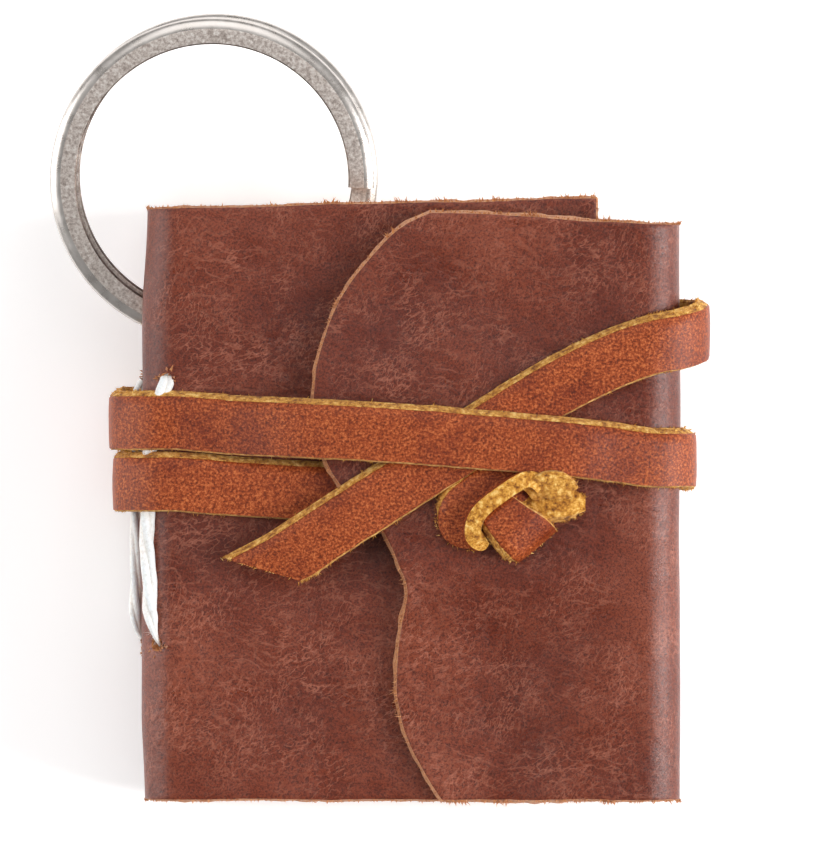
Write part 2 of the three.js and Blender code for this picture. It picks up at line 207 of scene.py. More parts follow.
cover = bmesh.new()
bmesh.ops.create_grid(cover, x_segments=COLUMNS, y_segments=ROWS, size=0.5)
table_length = FOLDS[0] + QUARTER + FRONT - CORNER  # where along the strip the spine would reach the table
stitch_holes = [(table_length - z, y) for z in SEWING_Z[:-1] for y in SEWING_Y]
stitch_holes += [(FOLDS[0] + CORNER * math.radians(90 - turn), y) for turn, y in zip(SHOULDER, SEWING_Y)]
holes = [(table_length - RING_HOLE[1], RING_HOLE[0], RING_HOLE[2])]
holes += [(s, y, STITCH_HOLE) for s, y in stitch_holes]
for v in cover.verts:  # cut: every point of the sheet is given its length along the strip and its height
    along, up = v.co.x + 0.5, v.co.y + 0.5
    s = along / flap_column * FLAP_START
    top = float(np.interp(min(s, FLAP_START + 20), *HEAD_EDGE))
    y = up * top
    if along > flap_column:
        share = (along - flap_column) / (1 - flap_column)
        y = up * float(np.interp(share, *FLAP_HEAD))
        s = FLAP_START + share * (WIDTH - CORNER - float(np.interp(y, *wave_at)))
    v.co = (s, y, 0)
for s0, y0, radius in holes:  # punched: what is inside goes, and what is beside it moves to the rim
    near = [v for v in cover.verts if math.hypot(v.co.x - s0, v.co.y - y0) < radius + RIM_OUT]
    inside = [v for v in near if math.hypot(v.co.x - s0, v.co.y - y0) < radius - RIM_IN]
    for v in near:
        away = Vector((v.co.x - s0, v.co.y - y0, 0))
        if away.length > 1e-6:
            v.co = Vector((s0, y0, 0)) + away.normalized() * radius
    bmesh.ops.delete(cover, geom=inside, context="VERTS")

for v in cover.verts:  # folded, and drawn into the easy curves of a used hide
    s, y = v.co.x, v.co.y
    x, z, facing = folded(s)
    swell = 0.16 * wander(s, y, 3, 17) + 0.05 * wander(s, y, 9, 5)
    x += swell * math.cos(facing)
    z += swell * math.sin(facing)
    on_spine = ease(4, 0, x)
    x += on_spine * (0.5 * ease(43, 54, y) + 0.25 * ease(8, 0, y))
    y += (0.14 * wander(s, 0, 0, 7) + 0.06 * wander(s, 5, 0, 1.3)) * (ease(46, 53, y) - ease(7, 0, y))
    if s > FLAP_START:  # the flap sinks to the front cover where no thong lifts it
        z -= FLAP_SINK[y >= THONG_Y] * ease(7.5, 17, abs(y - THONG_Y)) * ease(43, 31, x)
        z += 0.12 * ease(5, 2, abs(y - 27.6)) * ease(38, 30, x)
        x += 0.09 * wander(0, y, 7, 1.6) * ease(4, 0, x - float(np.interp(y, *wave_at)))
    if s < FRONT_WIDTH * 0.5:  # the front cover sinks a little at its free edge
        z -= 0.1 * ease(30, 40, x)
    v.co = (x, y, z)

bmesh.ops.recalc_face_normals(cover, faces=cover.faces)
if sum(f.normal.z for f in cover.faces if f.calc_center_median().z > FRONT - 1) < 0:
    bmesh.ops.reverse_faces(cover, faces=cover.faces)
grain_verts = set(cover.verts)
flesh_side = bmesh.ops.solidify(cover, geom=cover.faces[:], thickness=LEATHER)["geom"]
cut_faces = [f for f in cover.faces if 0 < sum(v in grain_verts for v in f.verts) < len(f.verts)]
for f in flesh_side:
    if isinstance(f, bmesh.types.BMFace):
        f.material_index = 1


def linear(hex_colour):
    """An sRGB hex colour as the linear colour that a shader takes."""
    parts = [int(hex_colour[i : i + 2], 16) / 255 for i in (1, 3, 5)]
    return [c / 12.92 if c <= 0.04045 else ((c + 0.055) / 1.055) ** 2.4 for c in parts] + [1]


def wire_up(tree, made, inputs):
    """Gives a node its inputs: each is a value, or an output to link from."""
    for name, value in inputs.items():
        if isinstance(value, bpy.types.NodeSocket):
            tree.links.new(value, made.inputs[name])
        else:
            made.inputs[name].default_value = value


def node(tree, kind, inputs, stops=(), result=0, **settings):
    """Adds one node, with its settings, inputs and ramp stops, and returns one of its outputs."""
    made = tree.nodes.new("ShaderNode" + kind)
    for name, value in settings.items():
        setattr(made, name, value)
    for i, (position, colour) in enumerate(stops):
        element = made.color_ramp.elements[i] if i < 2 else made.color_ramp.elements.new(1)
        element.position, element.color = position, linear(colour)
    wire_up(tree, made, inputs)
    return made.outputs[result]


def start_material(name, **shader):
    """A new material, its tree, shader and Object coordinates, with values set on the shader's sockets."""
    made = bpy.data.materials.new(name)
    made.use_nodes = True
    principled = made.node_tree.nodes["Principled BSDF"]
    for socket, value in shader.items():
        principled.inputs[socket.replace("_", " ")].default_value = value
    return made, made.node_tree, principled, node(made.node_tree, "TexCoord", {}, result="Object")


def per_mm(mm):
    """The texture scale, in metres, at which a feature is so many millimetres across."""
    return 1000 / mm


# Waxed full-grain cowhide, drum-dyed red-brown. The wax gives it a satin gleam, and where the hide was bent
# it has crackled into fine paler creases that run three ways, in patches.
cover_leather, tree, shader, at = start_material("waxed full-grain cowhide", IOR=1.5, Specular_IOR_Level=0.4)
patches = node(tree, "TexNoise", {"Vector": at, "Scale": per_mm(14), "Detail": 4, "Roughness": 0.6})
tone = node(
    tree, "ValToRGB", {"Fac": patches}, stops=((0.32, "#632411"), (0.5, "#743018"), (0.68, "#874129"))
)
specks = node(tree, "TexNoise", {"Vector": at, "Scale": per_mm(0.21), "Detail": 5, "Roughness": 0.8})
shade = node(
    tree, "ValToRGB", {"Fac": specks}, stops=((0.38, "#846e66"), (0.5, "#dfd5d0"), (0.61, "#ffffff"))
)
tone = node(tree, "Mix", {0: 1.0, 6: tone, 7: shade}, result=2, data_type="RGBA", blend_type="MULTIPLY")
CREASES = ((66, 0.5, 0.5), (28, 0.62, 0.5), (-8, 1.1, 0.34))  # their way in degrees, spacing and strength
CREASE_STRETCH, CREASE_COLOUR = 2.2, "#b4715a"
for turn, mm, share in CREASES:
    slanted = node(
        tree, "Mapping",
        {"Vector": at, "Rotation": (0, 0, math.radians(turn)), "Scale": (CREASE_STRETCH, 1, 1)},
        vector_type="TEXTURE",
    )
    creases = node(tree, "TexNoise", {"Vector": slanted, "Scale": per_mm(mm), "Detail": 3, "Distortion": 0.3})
    lines = node(tree, "Math", {0: creases, 1: 0.5}, operation="SUBTRACT")
    lines = node(tree, "Math", {0: lines}, operation="ABSOLUTE")
    lines = node(tree, "MapRange", {"Value": lines, "From Max": 0.036, "To Min": 1, "To Max": 0})
    where = node(
        tree, "TexNoise", {"Vector": at, "Scale": per_mm(5), "W": turn, "Detail": 6}, noise_dimensions="4D"
    )
    where = node(tree, "MapRange", {"Value": where, "From Min": 0.45, "From Max": 0.66, "To Max": share})
    lines = node(tree, "Math", {0: lines, 1: where}, operation="MULTIPLY")
    tone = node(tree, "Mix", {0: lines, 6: tone, 7: linear(CREASE_COLOUR)}, result=2, data_type="RGBA")
gleam = node(tree, "TexNoise", {"Vector": at, "Scale": per_mm(3.5), "Detail": 4})
gleam = node(
    tree, "MapRange", {"Value": gleam, "From Min": 0.3, "From Max": 0.7, "To Min": 0.27, "To Max": 0.42}
)
relief = node(tree, "Bump", {"Height": creases, "Distance": 0.0002, "Strength": 0.4})
relief = node(tree, "Bump", {"Height": specks, "Distance": 0.00005, "Strength": 0.7, "Normal": relief})
relief = node(tree, "Bump", {"Height": patches, "Distance": 0.0012, "Strength": 0.5, "Normal": relief})
wire_up(tree, shader, {"Base Color": tone, "Roughness": gleam, "Normal": relief})

# The cut edge and the flesh side of the same hide: undyed fibre, tan to orange, matt and furry. Its fibres
# are drawn coarser than they are, so that they show.
raw_hide, tree, shader, at = start_material(
    "raw cut edge of cowhide", Roughness=0.95, Sheen_Weight=0.25, Sheen_Roughness=0.6
)
fibres = node(tree, "TexNoise", {"Vector": at, "Scale": per_mm(0.35), "Detail": 6, "Roughness": 0.75})
tone = node(tree, "ValToRGB", {"Fac": fibres}, stops=((0.3, "#82421a"), (0.5, "#bd7439"), (0.7, "#dba468")))
relief = node(tree, "Bump", {"Height": fibres, "Distance": 0.00016, "Strength": 0.9})
wire_up(tree, shader, {"Base Color": tone, "Normal": relief})

FLAP_LEAN, EDGE_LEAN = 0.28, 0.2  # how far the flesh side stands out
FUZZ, TUFT, LIP = (0.27, 0.08), (0.5, 0.1), (0.75, 0.26)  # length and thickness
RING_CLEAR = 4  # round the ring's hole the leather is worn smooth

rim_push = {}
for f in cut_faces:  # the knife leans, so the flesh side stands out past the grain side
    f.material_index = 1
    for v in f.verts:
        if v not in grain_verts:
            rim_push.setdefault(v, []).append(f.normal.copy())
for v, normals in rim_push.items():
    away = sum(normals, Vector())
    at_flap = v.co.z > FRONT and v.co.x < WIDTH - 8
    if away.length > 0.1 and math.hypot(v.co.y - RING_HOLE[0], v.co.z - RING_HOLE[1]) > RING_CLEAR:
        lean = (FLAP_LEAN if at_flap else EDGE_LEAN) * (1 + 0.6 * wander(*v.co, 1.1))
        v.co += away.normalized() * lean
crisp_edges = [
    e for e in cover.edges
    if all(v in grain_verts for v in e.verts) and any(f in cut_faces for f in e.link_faces)
]
fuzz, tufts = [], []
dice = random.Random(11)
for e in crisp_edges:
    middle = (e.verts[0].co + e.verts[1].co) / 2
    if math.hypot(middle.y - RING_HOLE[0], middle.z - RING_HOLE[1]) < RING_CLEAR and middle.x < 3:
        continue
    outward = next(f for f in e.link_faces if f in cut_faces).normal.copy()
    clump = ease(0.1, 0.45, wander(*middle, 2.3))
    for _ in range(4 + int(dice.random() * 3 + 6 * clump)):
        depth = dice.random() * LEATHER * 0.8 * (middle.z > FRONT / 2)
        along = (e.verts[1].co - e.verts[0].co) * dice.uniform(-0.5, 0.5)
        root = middle + along - Vector((0, 0, depth)) + outward * 0.05
        (tufts if clump * dice.random() > 0.5 else fuzz).append((root, outward + Vector((0, 0, 0.3))))
bmesh.ops.bevel(
    cover, geom=crisp_edges, offset=0.1, offset_type="OFFSET", segments=2, profile=0.5, affect="EDGES",
    material=-1,
)
fray(cover, fuzz, FUZZ[0], 1, 12, FUZZ[1])
fray(cover, tufts, TUFT[0], 1, 13, TUFT[1])
for s, y in stitch_holes[-4:]:  # the last two stitches have pulled torn lips of leather out of their holes
    x, z, facing = folded(s)
    outward = Vector((math.cos(facing), 0, math.sin(facing)))
    past = 1 if y > SEWING_Y[0] else -1  # away from the stitch
    rim = []
    for _ in range(15):
        a = dice.uniform(-0.2, math.pi + 0.2)
        way = outward.cross(Vector((0, 1, 0))) * math.cos(a) + Vector((0, past * math.sin(a), 0))
        rim.append((Vector((x, y, z)) + way * dice.uniform(0.5, 0.8) - outward * 0.3, outward + way * 0.8))
    fray(cover, rim, LIP[0], 1, 14, LIP[1])
leather_cover = finish_mesh("leather_cover_hide", cover, cover_leather, raw_hide)
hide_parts("leather_cover")
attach(leather_cover, "journal")

# ---- Pages ----
# Twelve sheets of uncoated cotton paper, torn to size, each folded once and nested in threes to make four
# signatures. They are pressed apart where the ring lies between the second and the third, and loose
# elsewhere.

PAPER = 0.2
SHEETS = 3
PAGE_TAIL, PAGE_HEIGHT, PAGE_WIDTH = 1.4, 51.2, 44.6
FOLD_X = 1.7
FOLD_RADIUS, SHEET_PITCH, SIGNATURE_HALF = 0.28, 0.3, 1.13
RING_CENTRE = (6.5, 56.7)
LEAVES = 2 * SHEETS * len(SEWING_Z)
LOOSE_LOW, LOOSE_HIGH = BACK + LEATHER + 0.3, FRONT - LEATHER - 0.3  # what the loose pages fill
TORN_HEAD, TORN_EDGE = 0.22, 0.3  # how far their torn edges wander

# Uncoated rag paper: cream, faintly cloudy and matt, with a soft tooth.
rag_paper, tree, shader, at = start_material("uncoated cotton rag paper", Roughness=0.94, IOR=1.45)
pulp = node(tree, "TexNoise", {"Vector": at, "Scale": per_mm(1.6), "Detail": 7, "Roughness": 0.7})
tone = node(tree, "ValToRGB", {"Fac": pulp}, stops=((0.3, "#e2d6ba"), (0.5, "#f2ead8"), (0.7, "#faf5ea")))
tooth = node(tree, "TexNoise", {"Vector": at, "Scale": per_mm(0.3), "Detail": 5, "Roughness": 0.7})
relief = node(tree, "Bump", {"Height": tooth, "Distance": 0.00004, "Strength": 0.8})
wire_up(tree, shader, {"Base Color": tone, "Normal": relief})

for signature, level in enumerate(SEWING_Z):
    for nesting in range(SHEETS):
        sheet = bmesh.new()
        bmesh.ops.create_grid(sheet, x_segments=120, y_segments=34, size=0.5)
        radius = FOLD_RADIUS + nesting * SHEET_PITCH + PAPER / 2 + 0.02
        reach = PAGE_WIDTH - nesting * 0.15 - SIGNATURE_HALF
        bend = math.pi * radius / 2
        for v in sheet.verts:
            share, up = v.co.x * 2, v.co.y + 0.5
            side = 1 if share > 0 else -1
            run = abs(share) ** 1.25 * (reach + bend)
            y = PAGE_TAIL + up * PAGE_HEIGHT
            y += TORN_HEAD * wander(run, signature + 7 * nesting, side, 2.5) * abs(2 * up - 1) ** 6
            if run < bend:
                a = run / radius
                x, z = FOLD_X + SIGNATURE_HALF - radius * math.cos(a), level + side * radius * math.sin(a)
            else:
                out = run - bend
                x = FOLD_X + SIGNATURE_HALF + out
                x += TORN_EDGE * wander(y, signature, nesting * 3 + side, 3) * ease(reach - 2, reach, out)
                rank = 2 * SHEETS * signature + (SHEETS + nesting if side > 0 else SHEETS - 1 - nesting)
                loose_z = LOOSE_LOW + (LOOSE_HIGH - LOOSE_LOW) * (rank + 0.5) / LEAVES
                loose_z += 0.11 * wander(x, y, 4 * signature + nesting + side, 13)
                far = math.hypot(x - RING_CENTRE[0], y - RING_CENTRE[1])
                loose = ease(0, 15, out) * ease(16, 31, far)
                z = (level + side * radius) * (1 - loose) + loose_z * loose
            v.co = (x, y, z)
        bmesh.ops.solidify(sheet, geom=sheet.faces[:], thickness=PAPER)
        bmesh.ops.recalc_face_normals(sheet, faces=sheet.faces)
        node_name = f"signature_{signature + 1}_sheet_{SHEETS - nesting}"
        paper = finish_mesh(node_name + "_paper", sheet, rag_paper)
        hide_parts(node_name)
        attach(paper, "journal")

# ---- Binding threads ----
# A long stitch of waxed white linen for each signature: a soft three-ply cord that lies along the spine
# between two holes and back inside the fold. It is drawn a little slack, and its fibres have fluffed where
# they leave the holes.

PLY_RADIUS, PLY_SLIMMEST = 0.42, 0.12
TWIST = 17  # millimetres along the cord for each turn of its plies
SLIM = (0.7, 0.72, 0.75, 1.0)  # how full each stitch is: the last one is loose and has opened out

# Bleached and waxed linen: near white, with a soft sheen. Its fibres are drawn coarser than they are, so
# that they show.
linen, tree, shader, at = start_material(
    "waxed linen thread", Roughness=0.6, Sheen_Weight=0.4, Sheen_Roughness=0.4, Subsurface_Weight=0.2
)
strand = node(tree, "TexNoise", {"Vector": at, "Scale": per_mm(0.3), "Detail": 5, "Roughness": 0.7})
tone = node(tree, "ValToRGB", {"Fac": strand}, stops=((0.3, "#e6dfd6"), (0.5, "#f8f4ef"), (0.7, "#fffefb")))
relief = node(tree, "Bump", {"Height": strand, "Distance": 0.00006, "Strength": 0.7})
wire_up(tree, shader, {"Base Color": tone, "Normal": relief})


def sweep(bm, sections, slots=None):
    """Extrudes a face through the sections, into bm. slots gives the material of each side, in turn."""
    shape = bmesh.new()
    corner = shape.verts.layers.int.new("corner")
    face = shape.faces.new([shape.verts.new(p) for p in sections[0]])
    for k, v in enumerate(face.verts):
        v[corner] = k
    passed = []
    for section in sections[1:]:
        made = bmesh.ops.extrude_face_region(shape, geom=[face])["geom"]
        passed.append(face)
        face = next(g for g in made if isinstance(g, bmesh.types.BMFace))
        for v in face.verts:
            v.co = section[v[corner]]
    bmesh.ops.delete(shape, geom=passed[1:], context="FACES_ONLY")  # they would close it off inside
    for f in shape.faces:
        marks = sorted({v[corner] for v in f.verts})
        if slots and len(marks) == 2:
            f.material_index = slots[marks[1] if marks == [0, len(slots) - 1] else marks[0]]
    bmesh.ops.recalc_face_normals(shape, faces=shape.faces)
    shape.verts.layers.int.remove(corner)
    made = bpy.data.meshes.new("swept")
    shape.to_mesh(made)
    shape.free()
    bm.from_mesh(made)
    bpy.data.meshes.remove(made)


def ring_of(centre, along, radius, turned=0.0, sides=8):
    """Points round a centre, across the way along."""
    side = along.cross(Vector((0, 0, 1)) if abs(along.z) < 0.9 else Vector((1, 0, 0))).normalized()
    up = side.cross(along).normalized()
    angles = [2 * math.pi * k / sides + turned for k in range(sides)]
    return [centre + (side * math.cos(a) + up * math.sin(a)) * radius for a in angles]


def on_shoulder(degrees, y, clear):
    """A point over the spine's front corner, so many degrees up from the spine and clear of the leather."""
    a = math.radians(degrees)
    return (CORNER - (CORNER + clear) * math.cos(a), y, FRONT - CORNER + (CORNER + clear) * math.sin(a))


inside = FOLD_X + SIGNATURE_HALF
tail, head = SEWING_Y
for k, level in enumerate(SEWING_Z):
    outside = [  # the last stitch rides up on the shoulder of the spine, and the others lie on its side
        (tail + 0.1, -0.4, SHOULDER[0]), (tail + 1.3, 0.4, SHOULDER[0] - 2), (tail + 6, 0.5, 47),
        ((tail + head) / 2, 0.5, 43), (head - 6, 0.5, 48), (head - 1.4, 0.45, SHOULDER[1] - 4),
        (head - 0.1, -0.4, SHOULDER[1]),
    ]
    if k == len(SEWING_Z) - 1:
        outside = [on_shoulder(degrees, y, clear) for y, clear, degrees in outside]
    else:
        outside = [(-clear * 1.15, y, level) for y, clear, _ in outside]
    line = spline(
        [(inside, tail + 2.6, level), (inside, tail + 0.5, level), (FOLD_X + 0.2, tail, level), *outside,
         (FOLD_X + 0.2, head, level), (inside, head - 0.5, level), (inside, head - 5, level),
         (inside, tail + 3.4, level)], 20,
    )
    cord = bmesh.new()
    for ply in range(3):
        run, sections = 0.0, []
        for i, p in enumerate(line):
            along = (line[min(i + 1, len(line) - 1)] - line[max(i - 1, 0)]).normalized()
            run += (p - line[i - 1]).length if i else 0
            full = SLIM[k] * ease(tail - 0.3, tail + 3.2, p.y) * ease(head + 1.2, head - 0.2, p.y)
            full *= p.x < inside - 0.3
            a = 2 * math.pi * (ply / 3 + run / TWIST) + 0.5 * wander(run, ply, k, 5)
            centre = ring_of(p, along, 0.05 + 0.27 * full, a, 1)[0]
            thick = PLY_SLIMMEST + (PLY_RADIUS - PLY_SLIMMEST) * full
            thick *= 1 + 0.12 * wander(run, ply * 5, k, 1.5)
            sections.append(ring_of(centre, along, thick, a, 10))
        sweep(cord, sections)
    dice = random.Random(50 * k)
    ends = [p for p in line if p.x < 1.5 and min(p.y - tail, head - p.y) < 5]
    wisps = [(p, Vector((-0.5, dice.uniform(-1, 1), 0.4))) for p in ends for _ in range(2)]
    fray(cord, wisps, 0.7, 0, 30 + k, 0.025)
    thread = finish_mesh(f"binding_thread_{k + 1}_linen", cord, linen, crisp=80)
    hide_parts(f"binding_thread_{k + 1}")
    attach(thread, "journal")

# ---- Split ring ----
# One flat spring-steel wire, nickel plated, wound twice round: a turn on top, a short ramp and a turn
# beneath. The wire is rolled flat on its faces and left round outside. Its upper end is cut square, and
# springs up to take a key.

RING_LEVEL, RING_TILT = 10.311, math.radians(5)
WIRE_WIDTH, WIRE_THICKNESS, TURN_PITCH, TURN_OFFSET = 2.4, 1.25, 1.3, 0.3
RING_RADIUS = 15
WIRE_RADIUS = RING_RADIUS - WIRE_WIDTH / 2 - TURN_OFFSET / 2
TIP = -3  # degrees from +X to the wire's upper end
FREE_ARC, CROSSING, WIRE_END = 75.4, (320, 360), 674  # degrees along the wire from that end
ring_frame = Matrix.Translation((*RING_CENTRE, RING_LEVEL)) @ Matrix.Rotation(RING_TILT, 4, "X")

WIRE_ARCS = [  # the outline from its inner side: each arc's centre, two radii, two angles and steps
    ((-1.08, 1.13), (0.12, 0.12), (180, 90), 4),
    ((-0.94, 1.25), (0, 0), (0, 0), 0),
    ((0.0, 0.625), (1.2, 0.625), (90, -90), 16),
    ((-0.94, 0.0), (0, 0), (0, 0), 0),
    ((-1.08, 0.12), (0.12, 0.12), (-90, -180), 4),
]
WIRE_OUTLINE = []
for (across, up), radii, (first, last), steps in WIRE_ARCS:
    for i in range(steps + 1):
        a = math.radians(first + (last - first) * i / max(steps, 1))
        WIRE_OUTLINE.append((across + radii[0] * math.cos(a) * (steps > 0), up + radii[1] * math.sin(a)))
WIRE_SLOTS = []  # the material of each side of the outline: 0 on the flats, 1 outside and 2 inside
for a, b in zip(WIRE_OUTLINE, WIRE_OUTLINE[1:] + WIRE_OUTLINE[:1]):
    across = (a[0] + b[0]) / 2
    WIRE_SLOTS.append(1 if across > 0.25 else 2 if across < -1.05 else 0)


def wire_section(past):
    """The wire's outline at so many degrees past its tip, in the journal's millimetres."""
    side = 1 - 2 * ease(*CROSSING, past)
    angle = math.radians(TIP + past)
    out = Vector((math.cos(angle), math.sin(angle), 0))
    shift = Vector((1, 1, 0)) * (-side * TURN_OFFSET / 2)
    bottom = Vector((0, 0, side * TURN_PITCH / 2 - WIRE_THICKNESS / 2))
    return [
        ring_frame @ (shift + out * (WIRE_RADIUS + r) + bottom + Vector((0, 0, z))) for r, z in WIRE_OUTLINE
    ]


# Nickel plate over rolled steel. The flats were tumbled, so they are satin, with fine darker pits, which are
# drawn coarser than they are, so that they show.
tumbled_nickel, tree, shader, at = start_material("tumbled nickel plate", Metallic=1.0)
pits = node(tree, "TexNoise", {"Vector": at, "Scale": per_mm(0.3), "Detail": 6, "Roughness": 0.75})
tone = node(tree, "ValToRGB", {"Fac": pits}, stops=((0.34, "#b3a299"), (0.5, "#e4d7ce"), (0.66, "#fff9f3")))
gleam = node(
    tree, "MapRange", {"Value": pits, "From Min": 0.3, "From Max": 0.7, "To Min": 0.28, "To Max": 0.46}
)
relief = node(tree, "Bump", {"Height": pits, "Distance": 0.00004, "Strength": 0.6})
wire_up(tree, shader, {"Base Color": tone, "Roughness": gleam, "Normal": relief})

# The round outer side rubs on keys and cloth, which polishes it bright.
worn_nickel, tree, shader, at = start_material("polished nickel plate", Metallic=1.0)
rubbed = node(tree, "TexNoise", {"Vector": at, "Scale": per_mm(1.5), "Detail": 5, "Roughness": 0.6})
tone = node(tree, "ValToRGB", {"Fac": rubbed}, stops=((0.3, "#bfb8b2"), (0.7, "#d6d0cb")))
gleam = node(
    tree, "MapRange", {"Value": rubbed, "From Min": 0.3, "From Max": 0.7, "To Min": 0.24, "To Max": 0.34}
)
relief = node(tree, "Bump", {"Height": rubbed, "Distance": 0.00002, "Strength": 0.4})
wire_up(tree, shader, {"Base Color": tone, "Roughness": gleam, "Normal": relief})

# The inside of the coil is painted dark and brown: a painted dark reflection of the shade that the inner rim
# faces.
nickel_painted_dark_inside, tree, shader, at = start_material("nickel plate painted dark inside", Metallic=1.0)
painted_dark_mottle = node(tree, "TexNoise", {"Vector": at, "Scale": per_mm(0.9), "Detail": 6, "Roughness": 0.65})
tone = node(
    tree, "ValToRGB", {"Fac": painted_dark_mottle}, stops=((0.35, "#4d423c"), (0.5, "#756860"), (0.65, "#9c8f87"))
)
gleam = node(
    tree, "MapRange", {"Value": painted_dark_mottle, "From Min": 0.3, "From Max": 0.7, "To Min": 0.34, "To Max": 0.5}
)
relief = node(tree, "Bump", {"Height": painted_dark_mottle, "Distance": 0.00003, "Strength": 0.5})
wire_up(tree, shader, {"Base Color": tone, "Roughness": gleam, "Normal": relief})

WIRE_PARTS = (("split_ring_wire", FREE_ARC, WIRE_END, 300), ("split_ring_free_end", 0, FREE_ARC, 40))
for name, start, end, steps in WIRE_PARTS:
    wire = bmesh.new()
    sweep(wire, [wire_section(start + (end - start) * i / steps) for i in range(steps + 1)], WIRE_SLOTS)
    # the third finish, on the inner round, is the painted dark reflection
    part = finish_mesh(name, wire, tumbled_nickel, worn_nickel, nickel_painted_dark_inside, crisp=60)
    if start:
        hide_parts("ring_wire")
        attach(part, "ring")
    else:  # the free end, baked where it lies
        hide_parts("ring_free_end")
        root = math.radians(TIP + FREE_ARC)
        out = Vector((math.cos(root), math.sin(root), 0))
        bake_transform(part)

# ---- Thong ----
# A strap of softer, oiled leather, 5 mm wide and 1.3 mm thick. It comes up through a slit in the flap, goes
# twice round the journal with its grain outwards, and its tapered end is tucked under the last turn.

UNDER_FLAP, ON_FLAP, OVER_THONG, ON_TABLE = 18.59, 21.39, 22.79, 0.65  # levels of the strap's middle
STRAP_WIDTH = 5.0
# Side to side and up, with the grain on top: the knife leaned, so the flesh stands out on one side.
STRAP_PROFILE = [
    (-2.42, -0.63), (-2.5, -0.2), (-2.46, 0.35), (-2.36, 0.6), (-1.4, 0.65), (-0.5, 0.67), (0.5, 0.67),
    (1.4, 0.65), (2.2, 0.6), (2.38, 0.45), (2.68, 0.0), (2.9, -0.45), (2.7, -0.64), (1.2, -0.65),
    (-1.2, -0.65),
]
STRAP_SLOTS = [1, 1, 1, 0, 0, 0, 0, 0, 0, 1, 1, 1, 1, 1, 1]
CORNER_STEPS = 4  # from one end of a corner to the other


def round_corner(x, z, stand_off, start, end, y, drift=0.0):
    """Route points round one corner of the journal, from one angle to another in degrees, standing off its
    spine or fore-edge. The strap leans over on the way, so that y drifts."""
    lift = CORNER + 0.1 + LEATHER / 2
    points = []
    for i in range(CORNER_STEPS + 1):
        a = math.radians(start + (end - start) * i / CORNER_STEPS)
        out = (CORNER + stand_off) * math.cos(a)
        points.append((x + out, y + drift * i / CORNER_STEPS, z + lift * math.sin(a)))
    return points


def round_spine(y_front, y_back, stand_off):
    return [
        *round_corner(CORNER, FRONT - CORNER, stand_off, 90, 180, y_front),
        (-stand_off, (y_front + y_back) / 2, (FRONT + BACK) / 2),
        *round_corner(CORNER, BACK + CORNER, stand_off, 180, 270, y_back),
    ]


def round_fore_edge(y_back, y_front, stand_off, drift=0.0):
    x = WIDTH - CORNER
    return [
        *round_corner(x, BACK + CORNER, stand_off, -90, 0, y_back),
        (WIDTH + stand_off, (y_back + y_front) / 2, (FLAP + BACK) / 2),
        *round_corner(x, FLAP - CORNER, stand_off, 0, 80, y_front, drift),
    ]


WRAP_ROUTE = [
    (32, 27, FLAP - 0.3), (32, 27, FLAP - LEATHER + 0.1), (31.3, 27, UNDER_FLAP + 0.1),
    (29, 27.1, UNDER_FLAP), (24, 27.4, UNDER_FLAP), (10, 28.2, UNDER_FLAP), *round_spine(28.7, 29.1, 2),
    (6, 29.2, ON_TABLE), (24, 29.9, ON_TABLE), (43, 30.5, ON_TABLE), *round_fore_edge(30.6, 30.9, 0.85),
    (42.8, 31.4, ON_FLAP + 0.7), (39.5, 31.8, OVER_THONG), (30, 32.6, OVER_THONG),
    (22, 33.2, OVER_THONG - 0.2), (14.5, 33.6, ON_FLAP + 0.25), (8, 33.9, UNDER_FLAP + 1),
    *round_spine(34.3, 34.7, 2.35),
    (6, 35.1, ON_TABLE), (24, 38.7, ON_TABLE), (43, 42.3, ON_TABLE), *round_fore_edge(42.7, 42.6, 2.05, -1.4),
    (43.4, 40.1, ON_FLAP), (38, 37.5, ON_FLAP), (32.6, 34.2, ON_FLAP), (29.2, 32.1, ON_FLAP),
]
TAIL_ROUTE = [
    (29.2, 32.1, ON_FLAP), (26.2, 30.2, ON_FLAP), (22.6, 27.9, ON_FLAP), (18.6, 25.4, ON_FLAP - 0.05),
    (14, 22.4, ON_FLAP - 0.55), (11.35, 20.9, ON_FLAP - 1.0),
]


def away_from_core(p):
    """The way the grain side faces: away from the block that the journal's corners are rounded about."""
    top = (FRONT if p.x < WIDTH / 2 else FLAP) - CORNER
    inner = Vector((min(max(p.x, CORNER), WIDTH - CORNER), p.y, min(max(p.z, BACK + CORNER), top)))
    return (p - inner).normalized()


